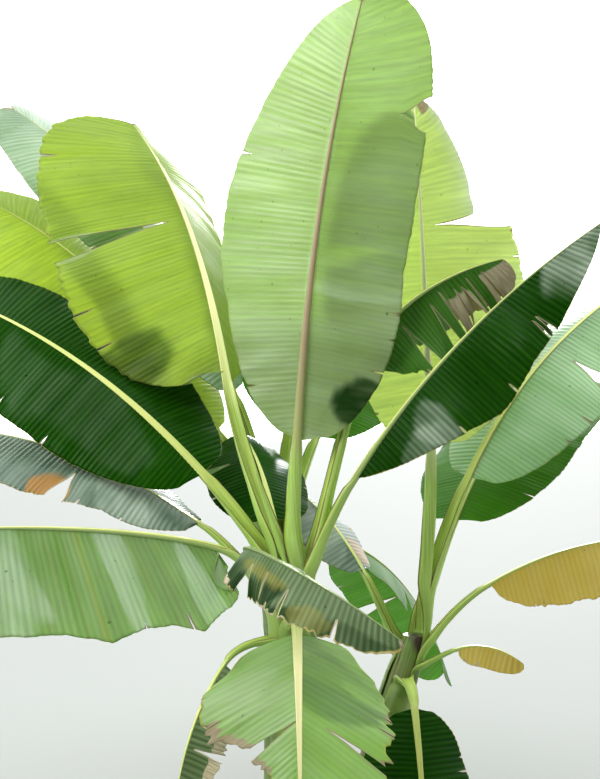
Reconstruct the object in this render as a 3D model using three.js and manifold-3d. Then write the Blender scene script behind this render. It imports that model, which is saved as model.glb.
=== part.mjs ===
// A banana plant: a clump of three pseudostems from one root, each with its leaves.
// Millimetres, +Z up. The origin is at the middle of the flat cut under the main stem.
// A leaf is a stalk (petiole) and a blade with its midrib. It leaves its stem on a heading,
// which is 0 along +X and 90 along +Y, rises at an angle to the level, and sags along its length.
import * as THREE from "three";
import { mergeVertices } from "three/addons/utils/BufferGeometryUtils.js";
import Module from "manifold-3d";

const wasm = await Module();
wasm.setup();

// The stems: where each stands, its height, its radii, and how far its top leans.
const STEMS = {
  main: { at: [0, 0], height: 1060, foot: 92, top: 50, lean: [-26, 0] },
  second: { at: [150, 105], height: 800, foot: 76, top: 40, lean: [225, 180] },
  rear: { at: [-40, 190], height: 1080, foot: 84, top: 46, lean: [-40, 480] },
};
const FLARE_HEIGHT = 140; // of the swollen foot
const FLARE = 1.28; // how much wider the foot is than the stem above it
const LEAN_POWER = 1.4; // 1 is a straight stem
const STEM_SIDES = 16;
const STEM_RINGS = 7;
const STEM_RING_POWER = 1.5; // over 1 sets the rings closer together at the foot
const GAP = 0.4; // between neighbouring solids

// A stalk starts inside its stem, a step lower and further out for each older leaf.
const SEAT_STEP = 21;
const SEAT_OUT = 0.16; // of the stem's radius, for each older leaf
const SEAT_OUT_MOST = 0.75;

// A stalk is a channel, open on top. It narrows from its sheath, and then on as the rib to the tip.
const STALK_WIDTH = { stem: 78, middle: 46, blade: 36, tip: 5 };
const NARROWED = 0.45; // the share of the stalk where its sheath has narrowed
const RIB_POWER = 0.8; // under 1 narrows the rib faster near its base
const STALK_SAG_POWER = 1.5;
// The channel's section, clockwise, in shares of the stalk's width.
const LIP = 0.24;
const CHANNEL_TOP = [[0.5, LIP], [0.3, 0.08], [0, -0.06], [-0.3, 0.08], [-0.5, LIP]];
const CHANNEL_BACK = [[-0.46, -0.12], [-0.28, -0.36], [0, -0.48], [0.28, -0.36], [0.46, -0.12]];
const FILLED_TOP = CHANNEL_TOP.map(([x]) => [x, LIP]);

const BLADE_THICKNESS = 0.01; // of the blade's length
const LEAST_HALF = 9; // of blade beside the rib at its two ends
const RIB_TOP = 0.3; // half the rib's width above the blade, as a share of the stalk's
const RIB_BACK = 0.4; // the same below the blade
const RIB_DEEP = 0.3; // how far it stands out below the blade
const GROOVE = 0.6; // the height of the groove's floor above the blade's middle, of half its thickness

// The veins leave the rib nearly square to it, and lean towards the tip near the leaf's end.
const USUAL_LEAN = [-12, 12]; // of the veins, in degrees, at the base and towards the tip
const TIP_LEAN = { angle: 36, power: 6 };
const SQUARE_START = 0.03; // the share of the blade over which they turn from dead square
const OTHER_WAVE = 0.35; // how far the right margin's wave is shifted from the left one's
// The usual outline of half a blade: where it is widest, how square its base and its tip are,
// how blunt the tip ends, and its width as a share of half the blade's.
const FORM = { widest: 0.42, base: 1.9, tip: 2.7, blunt: 1.9, wide: 1 };

// The furled young leaf: its length and width, heading and rise, and where it stands on the main stem's top.
const SPEAR = { length: 330, width: 20, lean: [178, 72], seat: [-6, -26, -12] };
const SPEAR_SIDES = 8;
const SPEAR_RINGS = [[0, 0.8], [0.25, 1], [0.7, 0.8], [0.95, 0.35], [1, 0.1]]; // share, width

const BLADE_STEPS = 48;
const STALK_STEPS = 16;
const ACROSS_STEPS = 12;
const STALK_STATIONS = [0, 0.1, 0.22, 0.4, 0.6, 0.8, 1];
const BLADE_STATIONS = [0, 0.03, 0.08, 0.16, 0.27, 0.39, 0.51, 0.63, 0.75, 0.85, 0.92, 0.97, 1];
const NEAR_TEAR = 0.012; // a regular station closer than this to a tear's is left out
const ACROSS = [0, 0.55, 1];

const radians = THREE.MathUtils.degToRad;
const lerp = THREE.MathUtils.lerp;
const smooth = (x) => THREE.MathUtils.smoothstep(x, 0, 1);

// Every leaf, from the youngest to the oldest of its stem. Angles are in degrees.
//   heading, rise     where the stalk leaves its stem
//   stalk             its length, how far it sags and how far it turns sideways
//   blade             its length and full width
//   bend              how far the blade sags, how late it does, and how far it turns sideways
//   roll              the turn about the rib at the blade's base and tip
//   left, right       each half's lift from flat at the base and at the tip, and how far it curls down
//   leftForm, rightForm  where that half's outline differs from the usual one
//   lean              the veins' lean, where it isn't the usual one
//   wave              the margin's wave: degrees, how many, and where it starts
//   tears             side (1 left, -1 right), place along, depth, half gap, and how the lobe after it hangs
//   size              the thickness of a lesser leaf's stalk and rib, 1 where it isn't given
const LEAVES = [
  {
    name: "tall", stem: "main", heading: -25, rise: 88, stalk: [390, 2, 0],
    blade: [1310, 650], bend: [12, 1.3, 0], roll: [-65, -62],
    left: [3, 4, -2], right: [20, 24, -6], wave: [5, 2.2, 0.2],
    rightForm: { widest: 0.42, base: 1.5, tip: 2.3, blunt: 1.1, wide: 0.97 },
    leftForm: { widest: 0.35, tip: 8, blunt: 1.3, wide: 0.88 },
    tears: [[1, 0.74, 0.32, 0.04, -3]],
  },
  {
    name: "back_left", stem: "main", heading: 163, rise: 66, stalk: [676, 0, -47],
    blade: [1130, 900], bend: [24, 1.1, 18], roll: [-18, -4],
    left: [-6, -4, 8], right: [-64, -14, 16], wave: [4, 2.0, 0.5],
    leftForm: { widest: 0.46, tip: 3.8, blunt: 1.7, wide: 1.07 },
    rightForm: { wide: 0.64 },
    lean: [-22, 2],
    tears: [[1, 0.54, 0.88, 0.036, -7]],
  },
  {
    name: "left", stem: "main", heading: 166, rise: 54, stalk: [420, 8, 0],
    blade: [1150, 580], bend: [30, 1.1, 0], roll: [-48, -50],
    left: [0, -8, 14], right: [-14, -22, 10], wave: [4, 2.4, 0.0],
    tears: [],
  },
  {
    name: "right", stem: "main", heading: -3, rise: 70, stalk: [372, 12, 0],
    blade: [1060, 520], bend: [24, 1.0, 0], roll: [0, 0],
    left: [-60, -62, 10], right: [-60, -66, 10], wave: [4, 3.0, 0.3],
    leftForm: { widest: 0.42, base: 1.25, tip: 1.5, blunt: 1.2, wide: 0.9 },
    rightForm: { widest: 0.42, base: 1.25, tip: 1.5, blunt: 1.2, wide: 0.95 },
    tears: [],
  },
  {
    name: "torn", stem: "main", heading: 14, rise: 77, stalk: [730, 4, 0],
    blade: [590, 460], bend: [60, 0.6, 0], roll: [0, 0],
    left: [-40, -50, 10], right: [-70, -76, 6], wave: [6, 3.0, 0.1],
    tears: [[-1, 0.3, 0.8, 0.03, 8], [-1, 0.5, 0.85, 0.03, -10], [-1, 0.7, 0.85, 0.03, 6]],
  },
  {
    name: "broken", stem: "main", heading: 205, rise: 66, stalk: [218, 40, 50],
    blade: [860, 260], bend: [58, 0.8, 80], roll: [0, 0],
    left: [-20, -30, 10], right: [-50, -60, 10], wave: [10, 2.5, 0.2], size: 0.8,
    tears: [[-1, 0.4, 0.7, 0.04, -20]],
  },
  {
    name: "shaded", stem: "main", heading: 108, rise: 62, stalk: [300, 10, 0],
    blade: [480, 380], bend: [40, 1.1, 0], roll: [0, 0],
    left: [-14, -26, 10], right: [-14, -26, 10], wave: [4, 2.4, 0.6], size: 0.75,
    tears: [[1, 0.6, 0.5, 0.03, -8]],
  },
  {
    name: "low_left", stem: "main", heading: 170, rise: 59, stalk: [380, 26, 0],
    blade: [950, 480], bend: [34, 1.2, 0], roll: [-4, -10],
    left: [-6, -20, 12], right: [-4, -16, 10], wave: [6, 2.6, 0.4], size: 0.7,
    tears: [[1, 0.42, 0.6, 0.03, -16]],
  },
  {
    name: "front_left", stem: "main", heading: 192, rise: 75, stalk: [312, 53, 0],
    blade: [1050, 670], bend: [26, 0.4, 0], roll: [0, 0],
    left: [-74, -78, 6], right: [-40, -50, 10], wave: [5, 3.2, 0.3],
    leftForm: { widest: 0.5, base: 2.8, wide: 0.95 },
    lean: [-46, 14],
    tears: [],
  },
  {
    name: "front", stem: "main", heading: -88, rise: 44, stalk: [330, 76, 0],
    blade: [540, 620], bend: [50, 0.8, 0], roll: [0, 0],
    left: [-18, -8, 10], right: [-18, -8, 10], wave: [6, 2.8, 0.5],
    leftForm: { base: 4, widest: 0.4, wide: 0.96 },
    rightForm: { base: 4, widest: 0.3, tip: 0.65, blunt: 0.8, wide: 0.96 },
    lean: [14, 50],
    tears: [[-1, 0.46, 0.95, 0.03, -80], [1, 0.42, 0.7, 0.02, -8]],
  },
  {
    name: "withered", stem: "main", heading: 208, rise: 10, stalk: [200, 60, 0],
    blade: [460, 240], bend: [36, 0.8, 0], roll: [0, 0],
    left: [-40, -50, 10], right: [-40, -50, 10], wave: [12, 2.5, 0.4], size: 0.6,
    tears: [[1, 0.4, 0.8, 0.04, -10], [-1, 0.55, 0.8, 0.04, 10]],
  },
  {
    name: "second_tall", stem: "second", heading: 2, rise: 80.5, stalk: [620, -11.5, 0],
    blade: [1120, 600], bend: [-1.5, 1, 0], roll: [-90, -90],
    left: [10, 14, 0], right: [36, 24, 0], wave: [5, 2.0, 0.2],
    leftForm: { tip: 2, blunt: 1.4, wide: 1.22 },
    tears: [[1, 0.64, 0.85, 0.03, 75], [-1, 0.66, 0.8, 0.03, 10]],
  },
  {
    name: "second_right", stem: "second", heading: 22, rise: 74, stalk: [570, 12, 0],
    blade: [1100, 560], bend: [40, 1, 0], roll: [20, 20],
    left: [-10, -20, 10], right: [-20, -26, 10], wave: [4, 2.4, 0.3],
    tears: [[-1, 0.5, 0.7, 0.03, -14]],
  },
  {
    name: "second_back", stem: "second", heading: 52, rise: 60, stalk: [480, 12, 0],
    blade: [1150, 600], bend: [46, 1.2, 0], roll: [0, 0],
    left: [-8, -16, 10], right: [-8, -16, 10], wave: [4, 2.4, 0.8],
    tears: [[1, 0.55, 0.7, 0.03, -12]],
  },
  {
    name: "second_left", stem: "second", heading: 150, rise: 64, stalk: [300, 6, 0],
    blade: [440, 360], bend: [34, 1.1, 0], roll: [0, 0],
    left: [-6, -16, 10], right: [-6, -16, 10], wave: [4, 2.0, 0.1], size: 0.75,
    tears: [],
  },
  {
    name: "second_low_right", stem: "second", heading: -8, rise: 58, stalk: [360, 26, 0],
    blade: [760, 420], bend: [46, 1.1, 0], roll: [0, 0],
    left: [-20, -30, 10], right: [-36, -46, 10], wave: [5, 2.0, 0.1], size: 0.7,
    tears: [[-1, 0.5, 0.7, 0.03, -14]],
  },
  {
    name: "second_yellow", stem: "second", heading: -24, rise: 34, stalk: [170, 10, 0],
    blade: [220, 150], bend: [60, 0.9, 0], roll: [0, 0],
    left: [-40, -50, 10], right: [-40, -50, 10], wave: [5, 2.0, 0.1], size: 0.5,
    tears: [],
  },
  {
    name: "second_front", stem: "second", heading: -84, rise: 14, stalk: [190, 70, 0],
    blade: [620, 400], bend: [28, 0.8, 0], roll: [0, 0],
    left: [-24, -24, 10], right: [-24, -24, 10], wave: [6, 2.4, 0.1], size: 0.8,
    tears: [[1, 0.5, 0.8, 0.03, -8]],
  },
  {
    name: "rear_tall", stem: "rear", heading: 66, rise: 78, stalk: [420, 8, 0],
    blade: [1150, 580], bend: [40, 1.2, 0], roll: [0, 0],
    left: [14, 8, 0], right: [14, 8, 0], wave: [4, 2.2, 0.2],
    tears: [[1, 0.6, 0.5, 0.02, -6]],
  },
  {
    name: "rear_left_upper", stem: "rear", heading: 175, rise: 78, stalk: [560, 10, 0],
    blade: [1350, 620], bend: [36, 1.2, 0], roll: [-20, -30],
    left: [0, -10, 10], right: [0, -10, 10], wave: [4, 2.4, 0.2],
    tears: [[1, 0.62, 0.6, 0.03, -10]],
  },
  {
    name: "rear_right", stem: "rear", heading: 62, rise: 58, stalk: [480, 12, 0],
    blade: [1050, 560], bend: [44, 1.2, 0], roll: [0, 0],
    left: [-8, -18, 10], right: [-12, -24, 10], wave: [4, 2.4, 0.2],
    tears: [[-1, 0.5, 0.7, 0.03, -12]],
  },
  {
    name: "rear_left_lower", stem: "rear", heading: 180, rise: 69, stalk: [480, 8, 0],
    blade: [1200, 600], bend: [36, 1.2, 0], roll: [-30, -40],
    left: [-6, -12, 10], right: [-6, -12, 10], wave: [4, 2.4, 0.9],
    tears: [[1, 0.5, 0.5, 0.03, -10]],
  },
  {
    name: "rear_back", stem: "rear", heading: 112, rise: 54, stalk: [400, 22, 0],
    blade: [1050, 560], bend: [56, 1.1, 0], roll: [0, 0],
    left: [-16, -26, 10], right: [-16, -26, 10], wave: [4, 2.4, 0.4],
    tears: [[1, 0.4, 0.7, 0.03, -12], [-1, 0.6, 0.7, 0.03, 10]],
  },
  {
    name: "rear_low", stem: "rear", heading: 40, rise: 30, stalk: [300, 50, 0],
    blade: [820, 480], bend: [50, 0.9, 0], roll: [0, 0],
    left: [-30, -36, 10], right: [-30, -36, 10], wave: [6, 2.4, 0.4], size: 0.8,
    tears: [[1, 0.5, 0.8, 0.03, -12], [-1, 0.4, 0.8, 0.03, 10]],
  },
];

// The radius of a stem at a share of its height, with its flared foot.
function stemRadius(stem, share) {
  const flare = Math.max(0, 1 - (share * stem.height) / FLARE_HEIGHT);
  return lerp(stem.foot, stem.top, share) * (1 + (FLARE - 1) * flare * flare);
}

// A point on a stem's axis. The lean grows faster than the height, so the foot stands nearly upright.
function stemAxis(stem, share) {
  return new THREE.Vector3(
    stem.at[0] + stem.lean[0] * share ** LEAN_POWER,
    stem.at[1] + stem.lean[1] * share ** LEAN_POWER,
    stem.height * share,
  );
}

// The leaf's direction and its sideways and upward vectors, for a heading, a rise and a roll.
function frameOf(heading, rise, roll) {
  const h = radians(heading), e = radians(rise), r = radians(roll);
  const along = new THREE.Vector3(
    Math.cos(e) * Math.cos(h), Math.cos(e) * Math.sin(h), Math.sin(e),
  );
  const flatSide = new THREE.Vector3(-Math.sin(h), Math.cos(h), 0);
  const flatUp = along.clone().cross(flatSide);
  const side = flatSide.clone().multiplyScalar(Math.cos(r)).addScaledVector(flatUp, Math.sin(r));
  const up = flatUp.clone().multiplyScalar(Math.cos(r)).addScaledVector(flatSide, -Math.sin(r));
  return { along, side, up };
}

// Heading, rise and roll at a share of the stalk, and at a share of the blade.
function stalkAngles(leaf, share) {
  const [, sag, turn] = leaf.stalk;
  return [
    leaf.heading + turn * share,
    leaf.rise - sag * share ** STALK_SAG_POWER,
    leaf.roll[0] * smooth(share),
  ];
}
function bladeAngles(leaf, share) {
  const [, stalkSag, stalkTurn] = leaf.stalk;
  const [sag, late, turn] = leaf.bend;
  return [
    leaf.heading + stalkTurn + turn * share ** late,
    leaf.rise - stalkSag - sag * share ** late,
    lerp(leaf.roll[0], leaf.roll[1], share),
  ];
}

// Where the leaf starts, inside its stem.
function seatOf(leaf) {
  const stem = STEMS[leaf.stem];
  const share = 1 - (leaf.age * SEAT_STEP) / stem.height;
  const out = stemRadius(stem, share) * Math.min(SEAT_OUT_MOST, SEAT_OUT * leaf.age);
  const h = radians(leaf.heading);
  return stemAxis(stem, share).add(new THREE.Vector3(out * Math.cos(h), out * Math.sin(h), 0));
}

// Walks a leaf's line in short straight steps and returns its points.
function walk(start, length, steps, angles) {
  const points = [start.clone()];
  for (let i = 0; i < steps; i++) {
    const { along } = frameOf(...angles((i + 0.5) / steps));
    points.push(points[i].clone().addScaledVector(along, length / steps));
  }
  return points;
}
function pointOn(points, share) {
  const x = share * (points.length - 1);
  const i = Math.min(points.length - 2, Math.floor(x));
  return points[i].clone().lerp(points[i + 1], x - i);
}
function layOut(leaf) {
  const stalk = walk(seatOf(leaf), leaf.stalk[0], STALK_STEPS, (s) => stalkAngles(leaf, s));
  const { along } = frameOf(...bladeAngles(leaf, 0));
  const start = stalk[STALK_STEPS].clone().addScaledVector(along, GAP);
  const blade = walk(start, leaf.blade[0], BLADE_STEPS, (s) => bladeAngles(leaf, s));
  return { stalk, blade };
}

// The width of the stalk, and of the rib that goes on from it.
function stalkWidth(leaf, share) {
  const { stem, middle, blade } = STALK_WIDTH;
  const width = share < NARROWED
    ? lerp(stem, middle, share / NARROWED)
    : lerp(middle, blade, smooth((share - NARROWED) / (1 - NARROWED)));
  return width * leaf.size;
}
function ribWidth(leaf, share) {
  return lerp(STALK_WIDTH.blade, STALK_WIDTH.tip, share ** RIB_POWER) * leaf.size;
}

// The half width of the blade: its outline as a share of its widest, and then with its tears.
function outline(leaf, side, share) {
  const { widest, base, tip, blunt, wide } = { ...FORM, ...(side > 0 ? leaf.leftForm : leaf.rightForm) };
  if (share < widest) return wide * (1 - (1 - share / widest) ** base) ** (1 / base);
  return wide * (1 - ((share - widest) / (1 - widest)) ** tip) ** (1 / blunt);
}
function halfWidth(leaf, side, share) {
  let notch = 0;
  for (const [tearSide, at, depth, gap] of leaf.tears) {
    if (tearSide === side) notch = Math.max(notch, depth * (1 - Math.abs(share - at) / gap));
  }
  return Math.max(LEAST_HALF, (leaf.blade[1] / 2) * outline(leaf, side, share) * (1 - notch));
}

// How a torn lobe hangs: the angle, and the depth from which it counts.
function lobeHang(leaf, side, share) {
  let hang = 0, inner = 1;
  for (const [tearSide, at, depth, gap, angle] of leaf.tears) {
    if (tearSide !== side) continue;
    hang = lerp(hang, angle, smooth((share - at + gap) / (2 * gap)));
    if (share > at - gap) inner = 1 - depth;
  }
  return [hang, inner];
}

// The veins' lean. The first station stays square to the rib, where the blade meets its stalk.
function veinLean(leaf, share) {
  const lean = lerp(...leaf.lean, share) + TIP_LEAN.angle * share ** TIP_LEAN.power;
  return radians(lean) * smooth(share / SQUARE_START);
}

// One half's points across the blade at a station, from the rib to the margin, with their normals.
function acrossBlade(leaf, laid, side, share) {
  const { along, side: sideways, up } = frameOf(...bladeAngles(leaf, share));
  const [liftBase, liftTip, curl] = side > 0 ? leaf.left : leaf.right;
  const [waveAngle, waves, waveStart] = leaf.wave;
  const [hang, inner] = lobeHang(leaf, side, share);
  const lift = lerp(liftBase, liftTip, share);
  const phase = waves * share + waveStart + (side > 0 ? 0 : OTHER_WAVE);
  const ripple = waveAngle * Math.sin(2 * Math.PI * phase);
  const lean = veinLean(leaf, share);
  const width = halfWidth(leaf, side, share);
  const full = (leaf.blade[1] / 2) * outline(leaf, side, share) + LEAST_HALF;
  const angleAt = (s) => {
    const place = (s * width) / full;
    const loose = smooth((place - inner) / Math.max(0.05, 1 - inner));
    return radians(lift - curl * place + ripple * place + hang * loose);
  };
  const found = [];
  const at = pointOn(laid.blade, share);
  for (let i = 0; i <= ACROSS_STEPS; i++) {
    const s = i / ACROSS_STEPS;
    const a = angleAt(s);
    const normal = up.clone().multiplyScalar(Math.cos(a)).addScaledVector(sideways, -side * Math.sin(a));
    found.push({ at: at.clone(), normal });
    const b = angleAt(s + 0.5 / ACROSS_STEPS);
    const step = width / ACROSS_STEPS;
    at.addScaledVector(sideways, side * Math.cos(b) * Math.cos(lean) * step)
      .addScaledVector(up, Math.sin(b) * Math.cos(lean) * step)
      .addScaledVector(along, Math.sin(lean) * step);
  }
  return ACROSS.map((s) => {
    const x = s * ACROSS_STEPS, i = Math.min(ACROSS_STEPS - 1, Math.floor(x));
    return {
      at: found[i].at.clone().lerp(found[i + 1].at, x - i),
      normal: found[i].normal.clone().lerp(found[i + 1].normal, x - i).normalize(),
    };
  });
}

// A closed solid through rings of points that all have the same count, with flat fan ends.
function skin(rings, strips) {
  const count = rings[0].length;
  const positions = rings.flat().flatMap((p) => [p.x, p.y, p.z]);
  const faces = [];
  for (let r = 0; r + 1 < rings.length; r++) {
    for (let k = 0; k < count; k++) {
      const a = r * count + k, b = r * count + ((k + 1) % count);
      faces.push(a, b, b + count, a, b + count, a + count);
    }
  }
  // An end is closed between points that face each other across the ring.
  const close = (base, turned) => {
    for (let k = 0; k + 1 < strips; k++) {
      const quad = [k, k + 1, count - 2 - k, count - 1 - k].map((i) => base + i);
      const [a, b, c, d] = turned ? quad.reverse() : quad;
      faces.push(a, b, c, a, c, d);
    }
  };
  close(0, true);
  close((rings.length - 1) * count, false);
  const geometry = new THREE.BufferGeometry();
  geometry.setAttribute("position", new THREE.Float32BufferAttribute(positions, 3));
  geometry.setIndex(faces);
  return geometry;
}

// A stalk's solid. A filled one, made larger by the gap, cuts its neighbours.
function stalkGeometry(leaf, laid, extra) {
  const rings = STALK_STATIONS.map((share) => {
    const { side, up } = frameOf(...stalkAngles(leaf, share));
    const width = stalkWidth(leaf, share) + 2 * extra;
    const centre = pointOn(laid.stalk, share);
    return [...(extra ? FILLED_TOP : CHANNEL_TOP), ...CHANNEL_BACK].map(([x, y]) =>
      centre.clone().addScaledVector(side, x * width).addScaledVector(up, y * width),
    );
  });
  return skin(rings, CHANNEL_TOP.length);
}

// The stations of a blade, with extra ones at its tears.
function stationsOf(leaf) {
  const wanted = leaf.tears.flatMap(([, at, , gap]) => [at - gap, at, at + gap]);
  const near = (a, b) => Math.abs(a - b) < NEAR_TEAR;
  const kept = BLADE_STATIONS.filter((s) => s === 0 || s === 1 || !wanted.some((w) => near(w, s)));
  return [...new Set([...kept, ...wanted])].filter((s) => s >= 0 && s <= 1).sort((a, b) => a - b);
}

// A blade's solid, with a round rib below and a shallow groove above.
function bladeGeometry(leaf, laid) {
  const half = (BLADE_THICKNESS * leaf.blade[0]) / 2;
  const rings = stationsOf(leaf).map((share) => {
    const left = acrossBlade(leaf, laid, 1, share);
    const right = acrossBlade(leaf, laid, -1, share);
    const { side, up } = frameOf(...bladeAngles(leaf, share));
    const rib = ribWidth(leaf, share);
    const middle = left[0].at;
    const edge = (points) => points.slice(1);
    const top = (p) => p.at.clone().addScaledVector(p.normal, half);
    const bottom = (p) => p.at.clone().addScaledVector(p.normal, -half);
    const beside = (x, y) => middle.clone().addScaledVector(side, x).addScaledVector(up, y);
    return [
      ...edge(left).reverse().map(top),
      beside(rib * RIB_TOP, half * GROOVE),
      beside(-rib * RIB_TOP, half * GROOVE),
      ...edge(right).map(top),
      ...edge(right).reverse().map(bottom),
      beside(-rib * RIB_BACK, -half - rib * RIB_DEEP),
      beside(rib * RIB_BACK, -half - rib * RIB_DEEP),
      ...edge(left).map(bottom),
    ];
  });
  return skin(rings, ACROSS.length * 2);
}

// A stem's solid. One made larger by the gap cuts its neighbours.
function stemGeometry(stem, extra) {
  const rings = [];
  for (let r = 0; r <= STEM_RINGS; r++) {
    const share = (r / STEM_RINGS) ** STEM_RING_POWER;
    const centre = stemAxis(stem, share), radius = stemRadius(stem, share) + extra;
    if (r === STEM_RINGS) centre.z += extra;
    rings.push(Array.from({ length: STEM_SIDES }, (_, k) => {
      const a = (2 * Math.PI * k) / STEM_SIDES;
      return new THREE.Vector3(
        centre.x + radius * Math.cos(a), centre.y + radius * Math.sin(a), centre.z,
      );
    }));
  }
  return skin(rings, STEM_SIDES / 2);
}

// The furled young leaf in the middle of the main stem, a slim closed spear.
function spearGeometry() {
  const { length, lean, width, seat } = SPEAR;
  const foot = stemAxis(STEMS.main, 1).add(new THREE.Vector3(...seat));
  const { along, side, up } = frameOf(...lean, 0);
  const rings = SPEAR_RINGS.map(([share, wide]) =>
    Array.from({ length: SPEAR_SIDES }, (_, k) => {
      const a = (2 * Math.PI * k) / SPEAR_SIDES;
      return foot.clone().addScaledVector(along, share * length)
        .addScaledVector(side, Math.cos(a) * wide * width / 2)
        .addScaledVector(up, Math.sin(a) * wide * width / 2);
    }),
  );
  return skin(rings, SPEAR_SIDES / 2);
}

function solidOf(geometry) {
  const merged = mergeVertices(geometry, 1e-3);
  return new wasm.Manifold(new wasm.Mesh({
    numProp: 3,
    vertProperties: merged.attributes.position.array,
    triVerts: new Uint32Array(merged.index.array),
  }));
}

// The named mesh of a solid's largest piece. What a cut leaves loose is dropped.
function meshOf(name, solid, material) {
  const pieces = solid.decompose().sort((a, b) => b.volume() - a.volume());
  const { vertProperties, triVerts } = pieces[0].getMesh();
  const geometry = new THREE.BufferGeometry();
  geometry.setAttribute("position", new THREE.BufferAttribute(vertProperties, 3));
  geometry.setIndex(new THREE.BufferAttribute(triVerts, 1));
  geometry.computeVertexNormals();
  const mesh = new THREE.Mesh(geometry, material);
  mesh.name = name;
  return mesh;
}

const finish = (colour, roughness) =>
  new THREE.MeshStandardMaterial({ color: colour, roughness, metalness: 0 });
const FINISH = {
  stem: finish("#7d8b4a", 0.6),
  stalk: finish("#9ab85c", 0.5),
  blade: finish("#5e9a32", 0.45),
};

const group = new THREE.Group();
const ages = {};
for (const leaf of LEAVES) {
  leaf.age = ages[leaf.stem] = (ages[leaf.stem] ?? -1) + 1;
  leaf.size ??= 1;
  leaf.lean ??= USUAL_LEAN;
}
// The swollen feet grow against each other, so each stem is cut clear of the ones before it.
const feet = [];
for (const [name, stem] of Object.entries(STEMS)) {
  let solid = solidOf(stemGeometry(stem, 0));
  for (const other of feet) solid = solid.subtract(other);
  feet.push(solidOf(stemGeometry(stem, GAP)));
  group.add(meshOf(`stem_${name}`, solid, FINISH.stem));
}
const cutters = Object.fromEntries(
  Object.entries(STEMS).map(([name, stem]) => [name, solidOf(stemGeometry(stem, GAP))]),
);
for (const leaf of LEAVES) {
  const laid = layOut(leaf);
  const stalk = solidOf(stalkGeometry(leaf, laid, 0)).subtract(cutters[leaf.stem]);
  const around = solidOf(stalkGeometry(leaf, laid, GAP));
  cutters[leaf.stem] = cutters[leaf.stem].add(around);
  group.add(meshOf(`stalk_${leaf.name}`, stalk, FINISH.stalk));
  const blade = solidOf(bladeGeometry(leaf, laid)).subtract(around);
  group.add(meshOf(`blade_${leaf.name}`, blade, FINISH.blade));
}
group.add(meshOf("spear", solidOf(spearGeometry()).subtract(cutters.main), FINISH.stalk));
export default group;
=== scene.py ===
# %% [markdown]
# A banana plant, grown leaf by leaf
#
# This lesson dresses a plain model of a banana plant. The plant is a clump: three false stems,
# each a roll of leaf sheaths, stand on one root. Every leaf is a channelled stalk, a midrib that
# runs on from it, and a thin blade with hundreds of side veins. The plain model gives each
# leaf its place. The same growing rule is written again here, and carried on to veins, torn
# strips and dry margins.

# %% Load the plain model as a fixed frame
import math

import bpy
import numpy as np
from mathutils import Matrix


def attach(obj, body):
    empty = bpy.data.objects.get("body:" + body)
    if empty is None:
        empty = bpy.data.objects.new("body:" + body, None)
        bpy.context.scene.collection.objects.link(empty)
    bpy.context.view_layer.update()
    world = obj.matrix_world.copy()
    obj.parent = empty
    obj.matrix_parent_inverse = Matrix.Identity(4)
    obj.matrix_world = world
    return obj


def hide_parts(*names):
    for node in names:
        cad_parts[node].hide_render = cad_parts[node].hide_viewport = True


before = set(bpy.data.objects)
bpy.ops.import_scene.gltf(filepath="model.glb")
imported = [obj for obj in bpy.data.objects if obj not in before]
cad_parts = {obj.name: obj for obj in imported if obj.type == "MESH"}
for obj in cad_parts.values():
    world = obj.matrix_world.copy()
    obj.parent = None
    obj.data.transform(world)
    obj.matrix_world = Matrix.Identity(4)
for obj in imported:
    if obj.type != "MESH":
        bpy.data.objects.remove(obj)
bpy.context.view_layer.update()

bpy.ops.object.select_all(action="DESELECT")

# %% [markdown]
# The camera comes first, because every later choice is judged through it. The photograph was
# taken level, from a standing height, a little over three metres away. A 50 mm lens on a frame
# whose longer side is 36 mm gives the same view.

# %% The camera
EYE_HEIGHT = 1.6
EYE_DISTANCE = 3.25
bpy.ops.object.camera_add(location=(0, -EYE_DISTANCE, EYE_HEIGHT), rotation=(math.radians(90), 0, 0))
camera = bpy.context.object
camera.data.lens = 50
camera.data.sensor_width = 36
bpy.context.scene.camera = camera
print("camera", tuple(camera.location))

# %% [markdown]
# Banana leaves are thin enough to glow. Against a bright sky they show their own pale green
# from behind, and dark overlaps where two leaves cross. So the surround is bright behind and
# above the plant and dim in front of it. A broad soft sun lamp shines from behind, so that one
# leaf shades the next, and a weak softbox in front puts a sheen on the blades. A single lamp
# in front would make them look like painted card.

# %% The surround
BRIGHT_BEHIND, DIM_IN_FRONT = 2.3, .10
BRIGHTEST_WAY = (0, .85, .52)


def build_surround():
    """A world that is bright behind and above the plant, and dim low in front of it."""
    surround = bpy.data.worlds.new("bright_surround")
    bpy.context.scene.world = surround
    surround.use_nodes = True
    nodes, links = surround.node_tree.nodes, surround.node_tree.links
    sky = nodes["Background"]
    sky.inputs["Color"].default_value = (.97, .99, 1.0, 1)
    direction = nodes.new("ShaderNodeTexCoord")
    towards = nodes.new("ShaderNodeVectorMath")
    towards.operation = "DOT_PRODUCT"
    towards.inputs[1].default_value = BRIGHTEST_WAY
    strength = nodes.new("ShaderNodeMapRange")
    strength.interpolation_type = "SMOOTHSTEP"
    for name, number in (("From Min", -.35), ("From Max", .5),
                         ("To Min", DIM_IN_FRONT), ("To Max", BRIGHT_BEHIND)):
        strength.inputs[name].default_value = number
    links.new(direction.outputs["Generated"], towards.inputs[0])
    links.new(towards.outputs["Value"], strength.inputs["Value"])
    links.new(strength.outputs["Result"], sky.inputs["Strength"])


build_surround()
bpy.context.scene.view_settings.view_transform = "Standard"
bpy.context.scene.view_settings.look = "Medium High Contrast"
print("surround", BRIGHT_BEHIND, DIM_IN_FRONT)

# %% The floor and the lamps
FLOOR_SIZE = 60.0


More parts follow.
